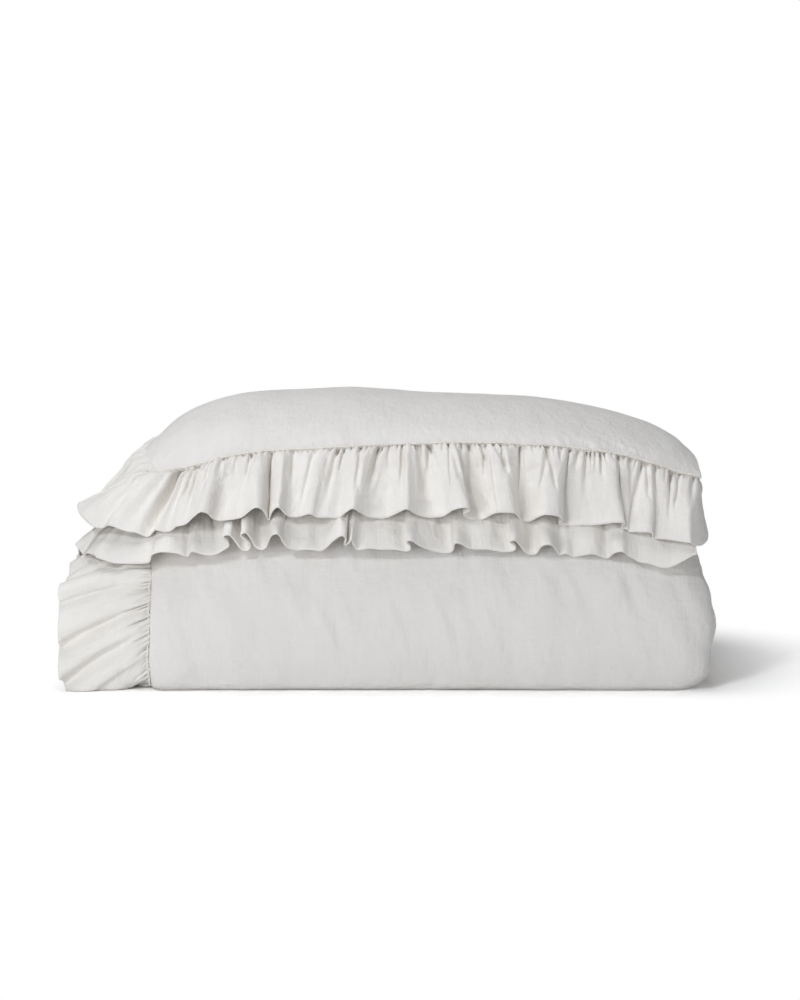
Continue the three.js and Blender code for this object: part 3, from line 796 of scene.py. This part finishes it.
def ruffleSheet(route, hem, creases, gather, seed):  # a grid of points from the seam to the hem
    make = ruffleMake
    first, last = route[0]["at"] / mm, route[-1]["at"] / mm
    inside = [knot for knot in hem if first + 2 < knot[0] < last - 2]
    hem = [(first, hem[0][1])] + inside + [(last, hem[-1][1])]
    curve, length, knotAt = curveThrough(hem, hemStep)
    curve = blurred(curve, make["hemRound"])
    curve[0], curve[-1] = hem[0][:2], hem[-1][:2]
    # the seam place of each fold: as pinned, and evenly gathered between
    pinned = [(far, knot[2]) for far, knot in zip(knotAt, hem) if len(knot) > 2]
    pins = np.array([(0, first)] + pinned + [(length[-1], last)])
    evenly = np.arange(0, length[-1] + 1, 1.0)
    place = np.interp(evenly, pins[:, 0], pins[:, 1])
    soft = np.interp(length, evenly, blurred(place, make["evenness"]))
    soft = np.maximum.accumulate(np.clip(soft, first, last) + np.arange(len(soft)) * 1e-5)
    at = soft[:, None] * mm
    aside = (curve[:, :1] - soft[:, None]) * mm
    tall = curve[:, 1:2] * mm
    share = np.linspace(0, 1, make["rows"] + 1)[None, :]
    noise = Noise3(seed)
    chance = np.random.default_rng(seed)
    height = tall * (make["atSeam"] + (1 - make["atSeam"]) * share ** gather["rise"])
    shift = aside * share ** 0.85
    for spot, lean, half, reach, deep in creases:
        across = (at - (spot + lean * share) * mm) / (half * mm)
        fade = 1 - ease(0.6 * reach, 1.2 * reach, share)
        if deep < 0:
            fade = fade * ease(0.03, 0.25, share)
        height = height - deep * mm * crest(across) * fade
    calm = 1.0
    if creases:
        calm = make["calmed"] + (1 - make["calmed"]) * ease(*make["calm"], at / mm)
    for depth in gathers(at, share, gather, chance):
        height = height - depth * calm
    height += make["puff"] * np.sin(np.minimum(1, share / make["puffTo"]) * np.pi) ** 0.7
    # softer unevenness over the whole sheet
    across = np.broadcast_to(share * make["width"], height.shape)
    grid = np.stack([np.broadcast_to(at + aside * 0.5, height.shape), across, 0 * across], axis=-1)
    height += 3.2 * mm * noise(grid * np.array([1, 0.35, 1]), 0.022) * ease(0.05, 0.4, share)
    height += 0.8 * mm * noise(grid + 5, 0.012) * ease(0.02, 0.3, share)
    shift += 1.5 * mm * noise(grid + 9, 0.030) * share
    path = routeAt(route, at[:, 0])
    root = make["rootDip"] + (1 - make["rootDip"]) * ease(*make["fullDip"], path["dip"])
    curled = path["curl"] * make["curling"] * share ** 1.2
    plain = root + (1 - root) * np.minimum(1, 3.2 * share)
    dipping = path["dip"] * ((1 - path["curl"]) * plain + curled)
    angle = np.radians(dipping + 2.0 * noise(grid + 3, 0.06))
    outward = path["out"][:, None, :]
    normal = path["normal"][:, None, :]
    step = outward * np.cos(angle)[..., None] - normal * np.sin(angle)[..., None]
    step = unit(step - up * (path["droop"] * share)[..., None])
    steady = np.radians(path["dip"])[..., None]
    face = outward * np.sin(steady) + normal * np.cos(steady)
    stride = make["width"] / make["rows"] * path["reach"][:, None, :]
    start = path["spot"] - path["out"] * make["sunk"]
    middle = start[:, None, :] + (np.cumsum(step, axis=1) - step[:, :1]) * stride
    sheet = middle + face * height[..., None] + path["along"][:, None, :] * shift[..., None]
    return sheet, length * mm, share


def sheetObject(name, sheet, length, share):  # the sheet with its thickness, doubled at the hem
    make = ruffleMake
    sheet[..., 2] = np.maximum(sheet[..., 2], make["hemCloth"] / 2 + make["clear"])
    down = np.gradient(sheet, axis=1)
    side = np.gradient(sheet, axis=0)
    face = unit(np.cross(side, down))
    hemStart = 1 - make["hem"] / make["width"]
    rolled = ease(hemStart - 0.012, hemStart + 0.012, share)
    half = (make["cloth"] + (make["hemCloth"] - make["cloth"]) * rolled) / 2
    half = np.broadcast_to(half, sheet.shape[:2])[..., None]
    outer = sheet - face * half
    inner = sheet + face * half
    rows, columns = sheet.shape[:2]
    edge = sheet[:, -1:] + unit(down[:, -1:]) * half[:, -1:] * 0.8
    loop = np.concatenate([outer, edge, inner[:, ::-1]], axis=1)
    loop[..., 2] = np.maximum(loop[..., 2], make["clear"])
    count = loop.shape[1]
    index = np.arange(rows * count).reshape(rows, count)
    faces = ringFaces(index[:-1], index[1:])
    for ring, turn in ((index[0].tolist(), -1), (index[-1].tolist(), 1)):
        for j in range(columns - 1):
            faces.append([ring[j], ring[j + 1], ring[-2 - j], ring[-1 - j]][::turn])
        faces.append(ring[columns - 1:columns + 2][::turn])
    across = np.concatenate([share[0], [share[0, -1]], share[0, ::-1]]) * make["width"]
    return newObject(name, loop.reshape(-1, 3), faces, uvsOf(length[:, None], across))


def makeRuffle(name, node, route, hem, creases, gather, seed):
    sheet, length, share = ruffleSheet(route, hem, creases, gather, seed)
    obj = sheetObject(name, sheet, length, share)
    print(name, "made:", len(obj.data.polygons), "faces")
    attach(obj, "root")
    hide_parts(node)
    return obj


upperWay = upperRoute()
lowerWay = lowerRoute()
sideWay = sideRoute()
print("routes found")
upperRuffle = makeRuffle(
    "upper_ruffle_cloth", "upper_ruffle", upperWay,
    evenHem(upperWay[0]["at"] / mm, -480, 8) + upperHem, upperCreases, gatherLook["upper"], seed=11,
)
lowerRuffle = makeRuffle(
    "lower_ruffle_cloth", "lower_ruffle", lowerWay,
    evenHem(lowerWay[0]["at"] / mm, -460, 9) + lowerHem, [], gatherLook["lower"], seed=23,
)
sideRuffle = makeRuffle(
    "side_ruffle_cloth", "side_ruffle", sideWay,
    [(sideWay[0]["at"] / mm, 1)] + sideHem + evenHem(216, sideWay[-1]["at"] / mm, -4),
    [], gatherLook["side"], seed=37,
)

# In millimetres; lift is outward and upward, swell a share of the radius.
stitchLook = {"radius": 1.3, "lift": (2.0, 1.6), "length": 3.2, "step": 0.8, "swell": 0.25, "sides": 6}


def stitchLine(name, route, seen):  # a fine raised row of stitches along a seam
    look = stitchLook
    path = routeAt(route, np.arange(seen[0], seen[1], 2 * mm))
    lift = path["out"] * look["lift"][0] + path["normal"] * look["lift"][1]
    points = path["spot"] + lift * mm
    length = running(points)
    spots = columnsAt(np.arange(0, length[-1], look["step"] * mm), length, points)
    turns = np.arange(len(spots)) * look["step"] / look["length"]
    beat = 1 - look["swell"] + look["swell"] * np.cos(turns * 2 * math.pi)
    forward = unit(np.gradient(spots, axis=0))
    side = unit(np.cross(forward, up + leftward * 0.3))
    above = np.cross(side, forward)
    rings = []
    for angle in np.linspace(0, 2 * math.pi, look["sides"] + 1)[:-1]:
        out = side * math.cos(angle) + above * math.sin(angle)
        rings.append(spots + out * beat[:, None] * look["radius"] * mm)
    rings = np.stack(rings, axis=1)
    index = np.arange(rings.shape[0] * look["sides"]).reshape(-1, look["sides"])
    faces = ringFaces(index[1:], index[:-1])
    faces += [index[0].tolist(), index[-1][::-1].tolist()]
    uvs = rings.reshape(-1, 3)[:, :2].copy()
    obj = newObject(name, rings.reshape(-1, 3), faces, uvs)
    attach(obj, "root")
    return obj


upperStitch = stitchLine("upper_stitch", upperWay, (-0.262, 0.35))
sideStitch = stitchLine("side_stitch", sideWay, (0.0, 0.2))
print("stitches made")
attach(duvet, "root")
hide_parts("duvet")


class Wire:  # a socket that can be used in sums
    def __init__(self, graph, socket):
        self.graph = graph
        self.socket = socket

    def math(self, operation, *values):
        return self.graph.node("ShaderNodeMath", dict(enumerate(values)), operation=operation)

    def __add__(self, other):
        return self.math("ADD", self, other)

    def __mul__(self, other):
        return self.math("MULTIPLY", self, other)

    def __sub__(self, other):
        return self.math("SUBTRACT", self, other)

    def __rsub__(self, other):
        return self.math("SUBTRACT", other, self)

    __radd__ = __add__
    __rmul__ = __mul__


class Graph:  # the nodes of one material, or of the world
    def __init__(self, owner):
        owner.use_nodes = True
        self.tree = owner.node_tree
        self.tree.nodes.clear()

    def node(self, kind, inputs=None, output=0, **settings):
        made = self.tree.nodes.new(kind)
        for key, value in settings.items():
            setattr(made, key, value)
        for key, value in (inputs or {}).items():
            if isinstance(value, Wire):
                self.tree.links.new(value.socket, made.inputs[key])
            else:
                made.inputs[key].default_value = value
        return Wire(self, made.outputs[output]) if made.outputs else None


linenLook = {
    "cover": (0.845, 0.816, 0.786, 1),
    # painted light: the ruffle linen is painted brighter and warmer than the cover's, standing in for the
    # stronger light on the ruffle sheets and the warm light between their folds
    "ruffles_painted_light": (0.910, 0.876, 0.828, 1),
    "thread": (0.96, 0.92, 0.84, 1),
    "shade": (0.795, 0.757, 0.710, 1),
    "threads": 700,  # scale of the yarn's noise
    "grain": 0.3,  # shares of the yarn, the slubs and the mottle in the colour
    "slub": 0.25,
    "mottle": 1.3,
    "slubRelief": 0.4,
    "weave": (0.45, 0.0007),  # strength and depth in relief of each size of unevenness
    "creping": (0.6, 0.0016),
    "crumple": (0.5, 0.005),
    "surface": {
        "Roughness": 0.92, "Sheen Weight": 0.08, "Sheen Roughness": 0.5, "Specular IOR Level": 0.2,
    },
}


def linen(name, colour):
    material = bpy.data.materials.new(name)
    g = Graph(material)
    cloth = g.node("ShaderNodeUVMap", uv_map="cloth")

    def cloud(x, y, scale, detail, roughness=0.5):
        stretched = g.node("ShaderNodeVectorMath", {0: cloth, 1: (x, y, 1)}, operation="MULTIPLY")
        inputs = {"Vector": stretched, "Scale": scale, "Detail": detail, "Roughness": roughness}
        return g.node("ShaderNodeTexNoise", inputs) - 0.5

    look = linenLook
    grain = cloud(1, 0.06, look["threads"], 1.5) + cloud(0.06, 1, look["threads"], 1.5)
    slubs = cloud(0.35, 6, 60, 2.0) + cloud(6, 0.35, 60, 2.0)
    creping = cloud(1, 0.35, 170, 2.0, 0.6) + cloud(0.6, 1, 110, 1.0)
    crumple = cloud(1.5, 0.7, 36, 2.5, 0.55)
    mottle = cloud(1.3, 0.7, 18, 3.0)
    tone = 0.5 + look["grain"] * grain + look["slub"] * slubs + look["mottle"] * mottle
    tones = {0: tone, 6: look["shade"], 7: colour}
    mixed = g.node("ShaderNodeMix", tones, 2, data_type="RGBA", clamp_factor=True)
    inputs = {}
    reliefs = {"weave": grain + look["slubRelief"] * slubs, "creping": creping, "crumple": crumple}
    for key, height in reliefs.items():  # each bump carries on from the finer one
        strength, depth = look[key]
        inputs |= {"Strength": strength, "Distance": depth, "Height": height}
        inputs = {"Normal": g.node("ShaderNodeBump", inputs)}
    shader = g.node("ShaderNodeBsdfPrincipled", {"Base Color": mixed} | inputs | look["surface"])
    g.node("ShaderNodeOutputMaterial", {0: shader})
    return material


def dress(obj, material):
    obj.data.materials.clear()
    obj.data.materials.append(material)


# the ruffle material is a brighter, warmer copy of the cover's linen, with painted light in its colour
for name, key, pieces in (
    ("thread", "thread", (upperStitch, sideStitch)), ("washed linen", "cover", (duvet,)),
    ("gathered linen painted brighter", "ruffles_painted_light", (upperRuffle, lowerRuffle, sideRuffle)),
):
    material = linen(name, linenLook[key])
    for obj in pieces:
        dress(obj, material)

floorLook = {
    "plain": (0.85, 0.855, 0.86, 1),  # as it lights the cloth, and as it shows
    "full": (1, 0.975, 0.94, 1),
    "gain": 0.4,  # how much brighter it shows than it is lit
    "glow": 0.04,
    "fadeStart": 0.31,  # from here on the floor turns plain white, in metres
    "fadeEnd": 0.45,
    "oval": (0.75, 1, 0),  # the fade is wider along X
}


def makeFloor():
    size = 6
    corners = [(-size, -size, 0), (size, -size, 0), (size, size, 0), (-size, size, 0)]
    floor = newObject("floor", corners, [(0, 1, 2, 3)])
    material = bpy.data.materials.new("white floor")
    g = Graph(material)
    plain = g.node("ShaderNodeBsdfDiffuse", {0: floorLook["plain"]})
    full = g.node("ShaderNodeBsdfDiffuse", {0: floorLook["full"]})
    more = g.node("ShaderNodeBsdfDiffuse", {0: (floorLook["gain"],) * 3 + (1,)})
    glow = g.node("ShaderNodeEmission", {0: (1, 1, 1, 1), 1: floorLook["glow"]})
    white = g.node("ShaderNodeEmission", {0: (1, 1, 1, 1), 1: 1})
    added = g.node("ShaderNodeAddShader", {0: more, 1: glow})
    bright = g.node("ShaderNodeAddShader", {0: full, 1: added})
    spot = g.node("ShaderNodeTexCoord", output=3)
    flat = g.node("ShaderNodeVectorMath", {0: spot, 1: floorLook["oval"]}, operation="MULTIPLY")
    away = g.node("ShaderNodeVectorMath", {0: flat}, 1, operation="LENGTH")
    fading = {0: away, 1: floorLook["fadeStart"], 2: floorLook["fadeEnd"]}
    fade = g.node("ShaderNodeMapRange", fading, interpolation_type="SMOOTHSTEP")
    faded = g.node("ShaderNodeMixShader", {0: fade, 1: bright, 2: white})
    seen = g.node("ShaderNodeMixShader", {0: g.node("ShaderNodeLightPath"), 1: plain, 2: faded})
    g.node("ShaderNodeOutputMaterial", {0: seen})
    dress(floor, material)


lampLook = {  # power in watts, size and place in metres
    "key": (23, 0.4, (-1.05, -2.45, 1.8)),
    "top": (43, 1.9, (-0.45, 0.2, 2.7)),
    "front": (3, 2.5, (0.2, -3.4, 0.9)),
    "low": (16.5, 1.0, (-1.1, -1.85, 0.22)),
    "side": (9, 0.9, (1.8, -1.1, 0.25)),
}
lampColour = (0.957, 0.984, 1.022)
lampAim = Vector((0, 0, 0.15))


def areaLight(name):
    data = bpy.data.lights.new(name, "AREA")
    data.energy, data.size, place = lampLook[name]
    data.color = lampColour
    lamp = placed(name, data)
    lamp.location = place
    lamp.rotation_euler = (lampAim - lamp.location).to_track_quat("-Z", "Y").to_euler()


worldLook = {"colour": (0.97, 0.98, 1.0, 1), "strength": 0.03}  # as it lights the cloth


def makeWorld():
    world = bpy.data.worlds.new("studio")
    bpy.context.scene.world = world
    g = Graph(world)
    light = g.node("ShaderNodeBackground", {0: worldLook["colour"], 1: worldLook["strength"]})
    white = g.node("ShaderNodeBackground", {0: (1, 1, 1, 1), 1: 1.0})
    seen = g.node("ShaderNodeMixShader", {0: g.node("ShaderNodeLightPath"), 1: light, 2: white})
    g.node("ShaderNodeOutputWorld", {0: seen})


cameraLook = {"spot": (0.013, -3.23, 0.5075), "pitch": -5.61, "lens": 99.0}


def makeCamera():
    data = bpy.data.cameras.new("camera")
    data.sensor_width = 36
    data.lens = cameraLook["lens"]
    data.clip_end = 50
    camera = placed("camera", data)
    camera.location = cameraLook["spot"]
    camera.rotation_euler = (math.radians(90 + cameraLook["pitch"]), 0, 0)
    bpy.context.scene.camera = camera


makeFloor()
for name in lampLook:
    areaLight(name)
makeWorld()
makeCamera()
bpy.context.scene.view_settings.view_transform = "Standard"
